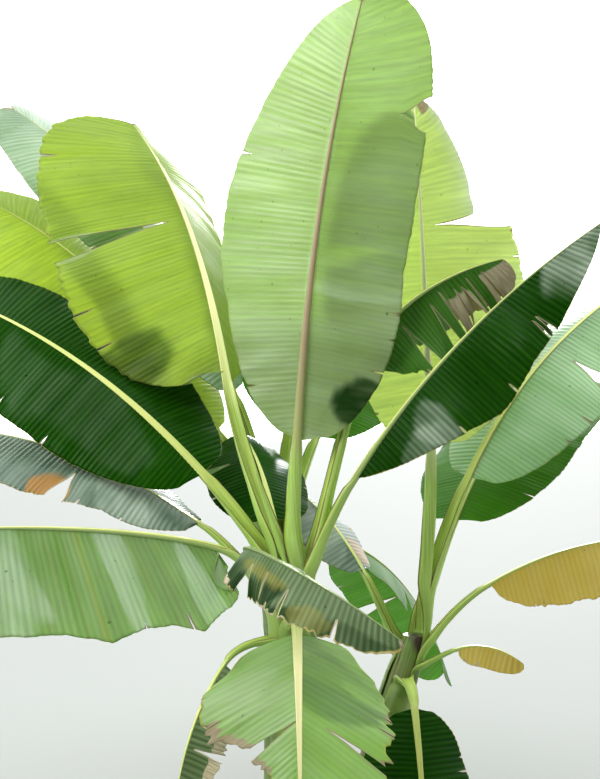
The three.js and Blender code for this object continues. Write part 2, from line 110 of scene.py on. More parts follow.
def lamp(name, kind, place, target, power):
    """A lamp at a place, turned to face a target."""
    bpy.ops.object.light_add(type=kind, location=place)
    made = bpy.context.object
    made.name = name
    made.data.energy = power
    away = [b - a for a, b in zip(place, target)]
    flat = math.hypot(away[0], away[1])
    made.rotation_euler = (math.atan2(flat, -away[2]), 0, math.atan2(-away[0], away[1]))
    made.visible_camera = False
    return made.data


behind = lamp("lamp_behind", "SUN", (.8, 5.0, 3.8), (0, 0, 1.7), 3.2)
behind.angle = math.radians(5)
front = lamp("lamp_front", "AREA", (-3.4, -3.6, 4.8), (0, 0, 1.5), 230)
front.shape = "DISK"
front.size = 2.4

bpy.ops.mesh.primitive_plane_add(size=FLOOR_SIZE)
floor = bpy.context.object
floor.name = "floor"
pale = bpy.data.materials.new("pale_floor")
pale.use_nodes = True
pale.node_tree.nodes["Principled BSDF"].inputs["Base Color"].default_value = (.24, .25, .235, 1)
pale.node_tree.nodes["Principled BSDF"].inputs["Roughness"].default_value = .9
floor.data.materials.append(pale)

# %% [markdown]
# The growing rule. A banana plant makes its leaves one after another from the middle of each
# stem, so every leaf can be told by a few numbers: where its stalk leaves the stem, how long it
# is, how far it sags, and how its two halves fold along the midrib. Such numbers could also be
# drawn as curves by hand, but a rule keeps all pieces alike, and lets a change to one number
# reach all that hangs on it. Angles are in degrees and lengths in metres.

# %% The stems and the driving sizes
STEMS = {
    "main": dict(at=(0, 0), height=1.06, foot=.092, top=.050, lean=(-.026, 0)),
    "second": dict(at=(.150, .105), height=.80, foot=.076, top=.040, lean=(.225, .180)),
    "rear": dict(at=(-.040, .190), height=1.08, foot=.084, top=.046, lean=(-.040, .480)),
}
FLARE_HEIGHT = .14
FLARE = 1.28
LEAN_POWER = 1.4

SEAT_STEP = .021
SEAT_OUT, SEAT_OUT_MOST = .16, .75

STALK_WIDTH = dict(stem=.078, middle=.046, blade=.036, tip=.005)
NARROWED = .45
RIB_POWER = .8
STALK_SAG_POWER = 1.5
LEAST_HALF = .009

TIP_LEAN, TIP_LEAN_POWER = 36, 6
SQUARE_START = .03
OTHER_WAVE = .35
FORM = dict(widest=.42, base=1.9, tip=2.7, blunt=1.9, wide=1)

STALK_STEPS = 96
BLADE_STEPS = 288
print("stems", list(STEMS))

# %% [markdown]
# Each row below is one leaf, from the youngest to the oldest of its stem. heading is 0 along +X
# and 90 along +Y, and rise is the angle above the level. stalk is its length, sag and turn, and
# blade its length and full width. bend says how far the blade sags, how late, and how far it
# turns. roll turns it about its rib, at the base and the tip. left and right lift each half and
# curl it down, and right is like left where it is left out. wave is the margin's wave. left_form
# and right_form say where a half's outline differs from the usual FORM. A tear has a side (1
# left, -1 right), a place along, a depth, half its gap, and how far the strip after it hangs.
# Strips are told like tears. Folds, peaks, patches of painted shade and sheen, patches of
# yellowing (on front_left, bands of painted light along its folds) and dead patches start with
# their side and place too. A patch of painted shade has a negative amount; a positive amount
# paints sheen and wax bloom. relief is how deep the veins and the broad waves are, fray how ragged
# the margin is, and dry how wide its dry rim is and where the dry tip starts. USUAL has what a row
# leaves out.

# %% The leaves
LEAVES = []
USUAL = dict(roll=(0, 0), left_form={}, right_form={}, lean=(-12, 12), size=1, look="plain", rib="green",
             relief=(.0009, .006), fray=.012, dry=(.0016, .985))


def leaf(name, stem, heading, rise, **own):
    """Keeps one leaf, with its age counted from the youngest of its stem."""
    age = sum(1 for other in LEAVES if other["stem"] == stem)
    told = dict(name=name, stem=stem, heading=heading, rise=rise, age=age)
    LEAVES.append({**USUAL, "right": own["left"], **told, **own})


def on_side(leaf, word, side):
    """What a leaf lists under a word for one side, without the side."""
    return [item[1:] for item in leaf.get(word, []) if item[0] == side]


# The patches of painted shade and sheen in these rows paint shadows cast by other leaves, and sheen bands,
# into the blades' colour; a few positive ones are wax bloom.
leaf("tall", "main", -25, 88, stalk=(.39, 2, 0), blade=(1.31, .65), bend=(12, 1.3, 0), roll=(-65, -62),
     left=(3, 4, -2), right=(20, 24, -6), wave=(5, 2.2, .2), look="bloom", rib="brown",
     left_form=dict(widest=.35, tip=8, blunt=1.3, wide=.88),
     right_form=dict(base=1.5, tip=2.3, blunt=1.1, wide=.97), relief=(.0007, .011),
     tears=[(1, .74, .32, .04, -3)],
     tints=[(1, .11, .9, .05, .45, -.9), (1, .36, .7, .03, .6, .65), (-1, .3, .5, .3, .5, .12),
            (1, .45, 0, .42, .05, .6), (-1, .45, 0, .42, .05, .6)])
leaf("back_left", "main", 163, 66, stalk=(.676, 0, -47), blade=(1.13, .9), bend=(24, 1.1, 18),
     roll=(-18, -4), left=(-6, -4, 8), right=(-64, -14, 16), wave=(4, 2, .5), look="sunlit", rib="cream",
     lean=(-22, 2), left_form=dict(widest=.46, tip=3.8, blunt=1.7, wide=1.07), right_form=dict(wide=.64),
     relief=(.0009, .011), fray=.03, tears=[(1, .54, .88, .036, -7)],
     tints=[(1, .16, .85, .07, .4, -.45), (1, .54, .95, .02, .2, .8), (-1, .42, .6, .1, .5, .45)],
     dead=[(1, .86, .97, .93)])
leaf("left", "main", 166, 54, stalk=(.42, 8, 0), blade=(1.15, .58), bend=(30, 1.1, 0), roll=(-48, -50),
     left=(0, -8, 14), right=(-14, -22, 10), wave=(4, 2.4, 0), look="deep", relief=(.0014, .008),
     tints=[(1, .4, .45, .3, .4, .06)])
leaf("right", "main", -3, 70, stalk=(.372, 12, 0), blade=(1.06, .52), bend=(24, 1, 0),
     left=(-60, -62, 10), right=(-60, -66, 10), wave=(4, 3, .3), look="deep",
     left_form=dict(base=1.25, tip=1.5, blunt=1.2, wide=.9),
     right_form=dict(base=1.25, tip=1.5, blunt=1.2, wide=.95), relief=(.003, .004),
     strips=[(-1, .66, .4, .004, -70), (-1, .675, .4, .004, 0)],
     folds=[(-1, .6, .05, .03), (-1, .46, .05, -.02), (-1, .33, .05, .02)],
     tints=[(-1, .24, .95, .08, .35, .25), (-1, .28, .75, .05, .45, .25), (-1, 1, .5, .2, 1.6, .5),
            (1, .98, .5, .2, 1.4, .6)])
leaf("torn", "main", 14, 77, stalk=(.73, 4, 0), blade=(.59, .46), bend=(60, .6, 0), left=(-40, -50, 10),
     right=(-70, -76, 6), wave=(6, 3, .1), relief=(.0012, .012), fray=.08,
     tears=[(-1, .3, .8, .03, 8), (-1, .5, .85, .03, -10), (-1, .7, .85, .03, 6)],
     strips=[(-1, .58, .9, .01, -30), (-1, .66, .8, .012, -60), (-1, .75, .9, .012, -20),
             (-1, .84, .9, .014, -55)], dead=[(-1, .58, .74, .25), (-1, .8, 1.02, .1), (1, .6, 1.02, .2)])
leaf("broken", "main", 205, 66, stalk=(.218, 40, 50), blade=(.86, .26), bend=(58, .8, 80),
     left=(-20, -30, 10), right=(-50, -60, 10), wave=(10, 2.5, .2), size=.8, look="dull", rib="dull",
     fray=.1, dry=(.005, .98), tears=[(-1, .4, .7, .04, -20)],
     strips=[(-1, .5, .75, .006, -24), (-1, .62, .6, .006, -8), (-1, .8, .5, .006, 14)],
     tints=[(-1, .42, .9, .22, .5, -1), (-1, .85, .9, .1, .35, -.6), (1, .5, .5, .4, 1, .15)],
     golden=[(-1, .46, .38, .12, .2, .5), (-1, .72, .75, .07, .2, .4)],
     dead=[(-1, .02, .34, .78), (-1, .5, .66, .9)])
leaf("shaded", "main", 108, 62, stalk=(.3, 10, 0), blade=(.48, .38), bend=(40, 1.1, 0),
     left=(-14, -26, 10), wave=(4, 2.4, .6), size=.75, look="deep", tears=[(1, .6, .5, .03, -8)])
leaf("low_left", "main", 170, 59, stalk=(.38, 26, 0), blade=(.95, .48), bend=(34, 1.2, 0), roll=(-4, -10),
     left=(-6, -20, 12), right=(-4, -16, 10), wave=(6, 2.6, .4), size=.7, look="slate",
     relief=(.0014, .008), tears=[(1, .42, .6, .03, -16)], tints=[(1, .25, .6, .1, .6, .4)],
     golden=[(1, .45, .8, .06, .35, .9)])
leaf("front_left", "main", 192, 75, stalk=(.312, 53, 0), blade=(1.05, .67), bend=(26, .4, 0),
     left=(-74, -78, 6), right=(-40, -50, 10), wave=(5, 3.2, .3), look="fresh", lean=(-46, 14),
     left_form=dict(widest=.5, base=2.8, wide=.95), relief=(.0018, .008),
     folds=[(1, .41, .03, .03), (1, .2, .025, .03), (1, .3, .03, -.015)],
     peaks=[(1, .41, .09, .09), (1, .19, .07, .1)],
     tints=[(1, .33, .6, .04, 1, .9), (1, .13, .7, .04, .9, 1), (1, .6, .6, .07, .9, .6),
            (1, .75, .6, .2, .9, .4), (1, .24, .5, .03, 1, -.1)],
     # On this leaf the yellow bands in the next line are painted light along its folds, not yellowing.
     golden=[(1, .415, .5, .012, 1.4, .2), (1, .24, .5, .05, 1.4, .07), (1, .48, .5, .06, 1.4, .07)])
leaf("front", "main", -88, 44, stalk=(.33, 76, 0), blade=(.54, .62), bend=(50, .8, 0), left=(-18, -8, 10),
     wave=(6, 2.8, .5), look="fresh", rib="cream", lean=(14, 50),
     left_form=dict(base=4, widest=.4, wide=.96),
     right_form=dict(base=4, widest=.3, tip=.65, blunt=.8, wide=.96), relief=(.0005, .01), fray=.11,
     dry=(.006, .97), tears=[(-1, .46, .95, .03, -80), (1, .42, .7, .02, -8)],
     tints=[(1, .2, .4, .2, .5, -.3), (-1, .16, .6, .07, .5, .35), (1, .16, .75, .03, .3, .4)],
     dead=[(-1, .22, .6, .8), (1, .17, .22, .9), (1, .36, .43, .88)])
leaf("withered", "main", 208, 10, stalk=(.2, 60, 0), blade=(.46, .24), bend=(36, .8, 0),
     left=(-40, -50, 10), wave=(12, 2.5, .4), size=.6, look="dull", fray=.12,
     tears=[(1, .4, .8, .04, -10), (-1, .55, .8, .04, 10)],
     strips=[(1, .3, .8, .02, -20), (1, .55, .8, .02, 15), (-1, .4, .8, .02, -20), (-1, .7, .8, .02, 20)],
     dead=[(1, .3, 1.02, .6), (-1, .3, 1.02, .5)])
leaf("second_tall", "second", 2, 80.5, stalk=(.62, -11.5, 0), blade=(1.12, .6), bend=(-1.5, 1, 0),
     roll=(-90, -90), left=(10, 14, 0), right=(36, 24, 0), wave=(5, 2, .2), look="pale", rib="pale",
     left_form=dict(tip=2, blunt=1.4, wide=1.22), fray=.03,
     tears=[(1, .64, .85, .03, 75), (-1, .66, .8, .03, 10)], tints=[(-1, .84, .5, .12, .9, -.7)],
     dead=[(1, .94, 1.02, .2), (-1, .9, 1.02, .6), (1, .6, .64, .9)])
leaf("second_right", "second", 22, 74, stalk=(.57, 12, 0), blade=(1.1, .56), bend=(40, 1, 0),
     roll=(20, 20), left=(-10, -20, 10), right=(-20, -26, 10), wave=(4, 2.4, .3), look="frost",
     relief=(.0018, .004), tears=[(-1, .5, .7, .03, -14)],
     strips=[(1, .3, .5, .004, -70), (1, .33, .5, .004, 0)])
leaf("second_back", "second", 52, 60, stalk=(.48, 12, 0), blade=(1.15, .6), bend=(46, 1.2, 0),
     left=(-8, -16, 10), wave=(4, 2.4, .8), tears=[(1, .55, .7, .03, -12)])
leaf("second_left", "second", 150, 64, stalk=(.3, 6, 0), blade=(.44, .36), bend=(34, 1.1, 0),
     left=(-6, -16, 10), wave=(4, 2, .1), size=.75, look="teal", tints=[(1, .4, .5, .3, .6, .4)],
     golden=[(-1, .15, .5, .12, .6, .7)])
leaf("second_low_right", "second", -8, 58, stalk=(.36, 26, 0), blade=(.76, .42), bend=(46, 1.1, 0),
     left=(-20, -30, 10), right=(-36, -46, 10), wave=(5, 2, .1), size=.7, look="dying", fray=.05,
     tears=[(-1, .5, .7, .03, -14)], dead=[(1, .8, 1.02, .6), (-1, .7, 1.02, .7)])
leaf("second_yellow", "second", -24, 34, stalk=(.17, 10, 0), blade=(.22, .15), bend=(60, .9, 0),
     left=(-40, -50, 10), wave=(5, 2, .1), size=.5, look="dying")
leaf("second_front", "second", -84, 14, stalk=(.19, 70, 0), blade=(.62, .4), bend=(28, .8, 0),
     left=(-24, -24, 10), wave=(6, 2.4, .1), size=.8, look="deep", relief=(.0016, .006),
     tears=[(1, .5, .8, .03, -8)])
leaf("rear_tall", "rear", 66, 78, stalk=(.42, 8, 0), blade=(1.15, .58), bend=(40, 1.2, 0),
     left=(14, 8, 0), wave=(4, 2.2, .2), tears=[(1, .6, .5, .02, -6)])
leaf("rear_left_upper", "rear", 175, 78, stalk=(.56, 10, 0), blade=(1.35, .62), bend=(36, 1.2, 0),
     roll=(-20, -30), left=(0, -10, 10), wave=(4, 2.4, .2), look="silver", tears=[(1, .62, .6, .03, -10)])
leaf("rear_right", "rear", 62, 58, stalk=(.48, 12, 0), blade=(1.05, .56), bend=(44, 1.2, 0),
     left=(-8, -18, 10), right=(-12, -24, 10), wave=(4, 2.4, .2), tears=[(-1, .5, .7, .03, -12)])
leaf("rear_left_lower", "rear", 180, 69, stalk=(.48, 8, 0), blade=(1.2, .6), bend=(36, 1.2, 0),
     roll=(-30, -40), left=(-6, -12, 10), wave=(4, 2.4, .9), look="sunlit", tears=[(1, .5, .5, .03, -10)])
leaf("rear_back", "rear", 112, 54, stalk=(.4, 22, 0), blade=(1.05, .56), bend=(56, 1.1, 0),
     left=(-16, -26, 10), wave=(4, 2.4, .4), tears=[(1, .4, .7, .03, -12), (-1, .6, .7, .03, 10)])
leaf("rear_low", "rear", 40, 30, stalk=(.3, 50, 0), blade=(.82, .48), bend=(50, .9, 0),
     left=(-30, -36, 10), wave=(6, 2.4, .4), size=.8,
     tears=[(1, .5, .8, .03, -12), (-1, .4, .8, .03, 10)])
print(len(LEAVES), "leaves")

# %% [markdown]
# From those numbers, some small functions give the line that a leaf follows: where it starts
# inside its stem, which way it points at each share of its length, and the points that a walk
# in short straight steps leaves behind. numpy works them out for all the steps at once.

# %% The line of a leaf
def smooth(x):
    """0 below 0, 1 above 1, and an even S between."""
    x = np.clip(x, 0.0, 1.0)
    return x * x * (3 - 2 * x)


def mix(a, b, share):
    return a + (b - a) * share


def stem_radius(stem, share):
    flare = np.maximum(0, 1 - share * stem["height"] / FLARE_HEIGHT)
    return mix(stem["foot"], stem["top"], share) * (1 + (FLARE - 1) * flare * flare)


def ring_of(turn):
    return np.stack([np.cos(turn), np.sin(turn), 0 * turn], axis=-1)


def stem_axis(stem, share):
    bent = np.maximum(share, 0) ** LEAN_POWER
    return np.stack([stem["at"][0] + stem["lean"][0] * bent,
                     stem["at"][1] + stem["lean"][1] * bent, stem["height"] * share], axis=-1)


def directions(heading, rise, roll):
    """The unit vectors along a leaf, to its left and up from it."""
    h, e, r = (np.radians(np.asarray(angle, float)) for angle in np.broadcast_arrays(heading, rise, roll))
    along = np.stack([np.cos(e) * np.cos(h), np.cos(e) * np.sin(h), np.sin(e)], axis=-1)
    flat_side = np.stack([-np.sin(h), np.cos(h), 0 * h], axis=-1)
    flat_up = np.cross(along, flat_side)
    c, s = np.cos(r)[..., None], np.sin(r)[..., None]
    return along, flat_side * c + flat_up * s, flat_up * c - flat_side * s


def stalk_angles(leaf, share):
    _, sag, turn = leaf["stalk"]
    return (leaf["heading"] + turn * share, leaf["rise"] - sag * share ** STALK_SAG_POWER,
            leaf["roll"][0] * smooth(share))


def blade_angles(leaf, share):
    _, stalk_sag, stalk_turn = leaf["stalk"]
    sag, late, turn = leaf["bend"]
    return (leaf["heading"] + stalk_turn + turn * share ** late,
            leaf["rise"] - stalk_sag - sag * share ** late, mix(*leaf["roll"], share))


def seat_of(leaf):
    stem = STEMS[leaf["stem"]]
    share = 1 - leaf["age"] * SEAT_STEP / stem["height"]
    out = stem_radius(stem, share) * min(SEAT_OUT_MOST, SEAT_OUT * leaf["age"])
    h = math.radians(leaf["heading"])
    return stem_axis(stem, share) + out * np.array([math.cos(h), math.sin(h), 0])


def walk(start, length, steps, angles):
    shares = (np.arange(steps) + .5) / steps
    along = directions(*angles(shares))[0] * (length / steps)
    return start + np.vstack([np.zeros(3), np.cumsum(along, axis=0)])


def on_line(points, share):
    at = np.asarray(share) * (len(points) - 1)
    return np.stack([np.interp(at, np.arange(len(points)), points[:, k]) for k in range(3)], axis=-1)


for grown in LEAVES:
    grown["stalk_line"] = walk(seat_of(grown), grown["stalk"][0], STALK_STEPS,
                               lambda share: stalk_angles(grown, share))
    grown["blade_line"] = walk(grown["stalk_line"][-1], grown["blade"][0], BLADE_STEPS,
                               lambda share: blade_angles(grown, share))
print("highest midrib tip", max(round(float(g["blade_line"][:, 2].max()), 3) for g in LEAVES))

# %% [markdown]
# A blade is a sheet, and a sheet is best begun as a grid: its rows become the side veins and its
# columns run from margin to margin. The grid primitive is added with as many squares as the
# sheet needs, and then each vertex is moved to its own place. A stalk is the same grid, wrapped
# into a tube, with its seam merged and its two ends filled.

# %% Helpers for meshes
def shaped_grid(name, points):
    """A grid primitive with its vertices at points (rows, columns, 3), and each vertex's row and column."""
    rows, columns = points.shape[:2]
    bpy.ops.object.select_all(action="DESELECT")
    bpy.ops.mesh.primitive_grid_add(x_subdivisions=columns - 1, y_subdivisions=rows - 1, size=2)
    made = bpy.context.object
    made.name = made.data.name = name
    flat = np.empty(len(made.data.vertices) * 3)
    made.data.vertices.foreach_get("co", flat)
    flat = flat.reshape(-1, 3)
    column = np.rint((flat[:, 0] + 1) / 2 * (columns - 1)).astype(int)
    row = np.rint((flat[:, 1] + 1) / 2 * (rows - 1)).astype(int)
    made.data.vertices.foreach_set("co", points[row, column].ravel())
    return made, row, column


def mark(made, name, values):
    """Keeps one number a vertex under a name that the finishes read."""
    made.data.attributes.new(name, "FLOAT", "POINT").data.foreach_set("value", np.ravel(values))


def lay_map(made, across, along):
    """Fills the primitive's own UV map with real distances in metres."""
    corner = np.empty(len(made.data.loops), int)
    made.data.loops.foreach_get("vertex_index", corner)
    layer = made.data.uv_layers.active
    layer.name = "metres"
    layer.data.foreach_set("uv", np.stack([across[corner], along[corner]], axis=1).ravel())


def in_edit_mode(*steps):
    bpy.ops.object.mode_set(mode="EDIT")
    for step in steps:
        step()
    bpy.ops.object.mode_set(mode="OBJECT")


def open_tube(name, points):
    """A grid wrapped round rings of points, still open at its seam and ends."""
    return shaped_grid(name, np.concatenate([points, points[:, :1]], axis=1))


def close_tube():
    """Merges the seam of the tube in hand and fills both ends."""
    in_edit_mode(
        lambda: bpy.ops.mesh.select_mode(type="VERT"),
        lambda: bpy.ops.mesh.select_all(action="SELECT"),
        lambda: bpy.ops.mesh.remove_doubles(threshold=1e-6),
        lambda: bpy.ops.mesh.select_all(action="DESELECT"),
        lambda: bpy.ops.mesh.select_non_manifold(),
        lambda: bpy.ops.mesh.edge_face_add(),
        lambda: bpy.ops.mesh.select_all(action="DESELECT"),
    )


WAVE_VALUES = 4096


def wander(seed, x, spacing=1.0):
    """A smooth random wave between -1 and 1 that passes through a new value at every spacing."""
    values = np.random.default_rng(seed).uniform(-1, 1, WAVE_VALUES)
    at = np.asarray(x) / spacing + 7.3
    low = np.floor(at).astype(int)
    return mix(values[low % WAVE_VALUES], values[(low + 1) % WAVE_VALUES], smooth(at - low))


# %% [markdown]
# Finishes. A leaf's colour has several layers: the green of the tissue, fine side veins, broad
# cloudy patches, yellowing, dead brown tissue at margins and tears, and painted light: painted
# shade in the vein furrows, patches of painted shade and painted sheen, and on one leaf bands of
# painted light along its folds. Each layer is a mix that an attribute or a stretched noise drives.
# The pattern follows the leaf because it reads the map in metres, so that every blade has veins at
# their true spacing. Light that comes through needs its own shader: a Translucent part, mixed with
# the ordinary surface.

# %% Helpers for finishes
class Finish:
    """A material, with a short way to add each kind of node. A colour is (red, green, blue)."""

    def __init__(self, name):
        self.material = bpy.data.materials.new(name)
        self.material.use_nodes = True
        self.nodes, self.link = self.material.node_tree.nodes, self.material.node_tree.links.new
        self.surface = self.nodes["Principled BSDF"]

    def feed(self, socket, value):
        """Links a socket, or sets it where value is a plain number or colour."""
        if isinstance(value, bpy.types.NodeSocket):
            self.link(value, socket)
        else:
            socket.default_value = (*value, 1) if socket.type == "RGBA" else value

    def add(self, kind, inputs, **settings):
        """A new node with its settings, and then what each of its inputs gets."""
        node = self.nodes.new("ShaderNode" + kind)
        for name, value in settings.items():
            setattr(node, name, value)
        for name, value in inputs.items():
            self.feed(node.inputs[name], value)
        return node

    def set(self, name, value):
        self.feed(self.surface.inputs[name], value)

    def marked(self, name):
        return self.add("Attribute", {}, attribute_name=name).outputs["Fac"]

    def blend(self, share, first, second, how="MIX"):
        inputs = {"Factor": share, "A": first, "B": second}
        return self.add("Mix", inputs, data_type="RGBA", blend_type=how).outputs["Result"]

    def reckon(self, how, first, second=0, third=0):
        return self.add("Math", {0: first, 1: second, 2: third}, operation=how).outputs[0]

    def ranged(self, value, low, high, to_low=0, to_high=1):
        """The value, stretched so that low and high become two others, and held between them."""
        return self.add("MapRange", {"Value": value, "From Min": low, "From Max": high,
                                     "To Min": to_low, "To Max": to_high}).outputs["Result"]

    def grey(self, value):
        """A grey as bright as the value."""
        return self.add("CombineColor", {"Red": value, "Green": value, "Blue": value}).outputs["Color"]

    def grain(self, scale, detail=2, on_map=True, seed=(0, 0, 0)):
        """Noise on the map in metres, or on the piece's own coordinates, with a scale for each axis."""
        if on_map:
            source = self.add("UVMap", {}, uv_map="metres").outputs["UV"]
        else:
            source = self.add("TexCoord", {}).outputs["Object"]
        turned = self.add("Mapping", {"Vector": source, "Location": seed, "Scale": scale}).outputs["Vector"]
        return self.add("TexNoise", {"Vector": turned, "Scale": 1, "Detail": detail}).outputs["Fac"]

    def bump(self, height, depth, strength):
        relief = self.add("Bump", {"Strength": strength, "Distance": depth, "Height": height})
        self.set("Normal", relief.outputs["Normal"])
        return relief.outputs["Normal"]


# %% The finish of a blade
DEAD_PALE = (.64, .59, .42)
DEAD_DARK = (.33, .27, .17)
# Wax bloom and painted sheen both blend towards this pale colour.
WAX_AND_SHEEN = (.66, .76, .62)
STRAW = (.50, .42, .16)
SHADED = (.07, .22, .03)
MARKS = ("dry", "yellowed_and_painted_light", "tint", "margin", "furrow")


def blade_finish(name, green, vein, glow, wax, through, roughness, gloss, furrow_shade, yellow=(.62, .5, .05)):
    """One side of a blade: tissue and veins, painted shade in the vein furrows, what yellows and dries,
    patches of painted shade and sheen, and the light that comes through.
    """
    mat = Finish(name)
    fibres = mat.grain((14, 520, 1), detail=1.0)
    bands = mat.grain((2.5, 85, 1), detail=1.0, seed=(3, 1, 0))
    clouds = mat.grain((3.2, 3.2, 3.2), detail=3.0, on_map=False)
    streaks = mat.grain((2.5, 16, 1), seed=(7, 4, 0))
    dry, yellowed_and_painted_light, tint, margin, furrow = (mat.marked(word) for word in MARKS)
    # The streaks give the painted shade and sheen ragged edges.
    tint = mat.reckon("MULTIPLY", tint, mat.ranged(streaks, .35, .6, .55, 1.15))
    ragged = mat.reckon("MULTIPLY_ADD", mat.reckon("SUBTRACT", clouds, .5), .5, dry)
    dead = mat.ranged(ragged, .35, .6)
    rim = mat.ranged(mat.reckon("MULTIPLY_ADD", clouds, 4.0, margin), 2.6, 3.6, 1, 0)
    # Yellowing, which on front_left paints bands of light along its folds.
    old = mat.ranged(mat.reckon("MULTIPLY_ADD", bands, .35, yellowed_and_painted_light), .25, 1.15)

    tone = mat.reckon("MULTIPLY_ADD", bands, .5, mat.reckon("MULTIPLY", fibres, .5))
    colour = mat.blend(mat.ranged(tone, .3, .7), green, vein)
    waxy = mat.reckon("MULTIPLY_ADD", streaks, .5, mat.reckon("MULTIPLY", clouds, .5))
    # Wax bloom, and painted sheen where the painted shade and sheen is above 0, turn the colour towards the
    # pale wax colour.
    bloom = mat.reckon("MAXIMUM", mat.ranged(waxy, .38, .62, .1 * wax, wax), mat.ranged(tint, 0, 1, 0, .9))
    colour = mat.blend(bloom, colour, WAX_AND_SHEEN)
    # Painted shade in the vein furrows and painted light on their ridges, on the same wave as the relief.
    furrow_shading = mat.ranged(furrow, -1, 1, 1 - furrow_shade, 1 + .6 * furrow_shade)
    shade = mat.reckon("MULTIPLY", mat.ranged(clouds, .3, .7, .85, 1.08), furrow_shading)
    specks = mat.ranged(mat.grain((70, 70, 1), detail=0.0, seed=(1, 9, 0)), .80, .84, 1, .3)
    shade = mat.grey(mat.reckon("MULTIPLY", shade, specks))
    colour = mat.blend(1.0, colour, shade, "MULTIPLY")
    # Where the painted shade and sheen is below 0, painted shade darkens the colour here and the light that
    # comes through below.
    shaded = mat.ranged(tint, -1, 0, 1, 0)
    colour = mat.blend(shaded, colour, SHADED, "MULTIPLY")
    colour = mat.blend(old, colour, yellow)
    colour = mat.blend(rim, colour, STRAW)
    brown = mat.blend(mat.ranged(fibres, .35, .65), DEAD_DARK, DEAD_PALE)
    mat.set("Base Color", mat.blend(dead, colour, brown))
    mat.set("Roughness", mat.ranged(dead, 0, 1, roughness, .85))
    mat.set("Specular IOR Level", gloss)
    relief = mat.bump(tone, .0012, .6)

    lit = mat.blend(mat.ranged(tone, .3, .7), glow, vein)
    lit = mat.blend(.35, lit, glow)
    lit = mat.blend(shaded, lit, SHADED, "MULTIPLY")
    lit = mat.blend(old, lit, (.85, .62, .08))
    lit = mat.blend(dead, lit, (.46, .40, .25))
    behind = mat.add("BsdfTranslucent", {"Color": lit, "Normal": relief}).outputs["BSDF"]
    both = mat.add("MixShader", {"Fac": through, 1: mat.surface.outputs["BSDF"], 2: behind})
    mat.link(both.outputs["Shader"], mat.nodes["Material Output"].inputs["Surface"])
    return mat.material


# Each row is one side of a look: its green, its veins', what shines through, how waxy it is, how
# much light it lets through, how rough and glossy it is, how strongly its vein furrows are painted
# darker and its ridges lighter, as painted shade and painted light, and its own yellow if it has one.
RUST, AMBER, OLIVE = (.3, .14, .006), (.34, .16, .006), (.26, .23, .03)
LOOK_SIDES = {
    "bloom_upper": ((.17, .31, .06), (.26, .42, .1), (.62, .9, .28), .25, .42, .36, .5, .12),
    "bloom_under": ((.29, .37, .165), (.39, .46, .25), (.78, .89, .47), .4, .5, .34, .5, .05),
    "sunlit_upper": ((.24, .35, .05), (.33, .44, .08), (.82, .92, .24), .12, .6, .4, .3, .12),
    "sunlit_under": ((.38, .48, .26), (.48, .57, .34), (.86, 1, .24), .4, .5, .45, .5, .12),
    "pale_upper": ((.24, .35, .05), (.33, .44, .08), (.84, .93, .36), .2, .6, .4, .3, .12),
    "pale_under": ((.4, .5, .3), (.5, .58, .38), (.9, 1, .46), .4, .5, .45, .5, .12),
    # The deep look is the dark green of a glossy leaf, made darker still as painted shade for leaves that
    # stand in the shade of others.
    "deep_upper": ((.006, .05, .001), (.024, .108, .003), (.08, .36, .004), 0, .22, .3, .08, .3),
    "deep_under": ((.07, .15, .05), (.13, .23, .1), (.2, .5, .05), .3, .3, .45, .5, .12),
    "fresh_upper": ((.22, .36, .1), (.34, .47, .19), (.66, .9, .3), .3, .48, .34, .4, .12),
    "fresh_under": ((.3, .43, .19), (.4, .54, .28), (.66, .96, .32), .5, .48, .45, .5, .12),
    "plain_upper": ((.05, .16, .015), (.1, .25, .03), (.36, .72, .06), .05, .4, .34, .3, .12),
    "plain_under": ((.13, .26, .08), (.22, .36, .15), (.4, .74, .1), .25, .4, .45, .5, .12),
    # The frost look's whitish green is partly wax bloom and partly painted sheen, the sky's reflection
    # painted into its colour.
    "frost_upper": ((.22, .38, .19), (.42, .58, .38), (.6, .86, .46), .55, .4, .3, .5, .3),
    "frost_under": ((.34, .47, .32), (.5, .62, .46), (.6, .86, .48), .6, .4, .36, .5, .12),
    # The slate look is a dark leaf with a blue-grey whiteness of painted sheen, the sky's reflection painted
    # into its colour.
    "slate_upper": ((.035, .085, .045), (.09, .15, .1), (.2, .4, .14), .25, .2, .25, .5, .12, RUST),
    "slate_under": ((.14, .2, .15), (.26, .33, .27), (.24, .42, .18), .4, .2, .3, .5, .12, RUST),
    "teal_upper": ((.018, .07, .028), (.05, .13, .06), (.16, .44, .1), .15, .2, .3, .4, .12, AMBER),
    "teal_under": ((.045, .12, .055), (.11, .19, .11), (.16, .44, .1), .15, .2, .36, .5, .12, AMBER),
    # The silver look's whiteness is painted sheen, the sky's reflection, together with wax bloom.
    "silver_upper": ((.16, .28, .15), (.26, .38, .23), (.46, .72, .28), .5, .3, .26, .5, .12),
    "silver_under": ((.36, .47, .36), (.48, .58, .46), (.52, .76, .34), .7, .34, .36, .5, .12),
    "dull_upper": ((.06, .115, .03), (.15, .22, .085), (.24, .36, .08), .1, .18, .45, .2, .35, OLIVE),
    "dull_under": ((.08, .1, .03), (.16, .18, .07), (.24, .3, .08), .05, .18, .55, .5, .12),
    "dying_upper": ((.42, .36, .04), (.52, .42, .06), (.85, .62, .05), .1, .4, .5, .5, .12),
    "dying_under": ((.46, .36, .08), (.52, .42, .12), (.85, .6, .08), .1, .4, .55, .5, .12),
}
LOOKS = {}
for look_side, row in LOOK_SIDES.items():
    LOOKS.setdefault(look_side.split("_")[0], []).append(blade_finish(look_side, *row))
print("blade looks", list(LOOKS))

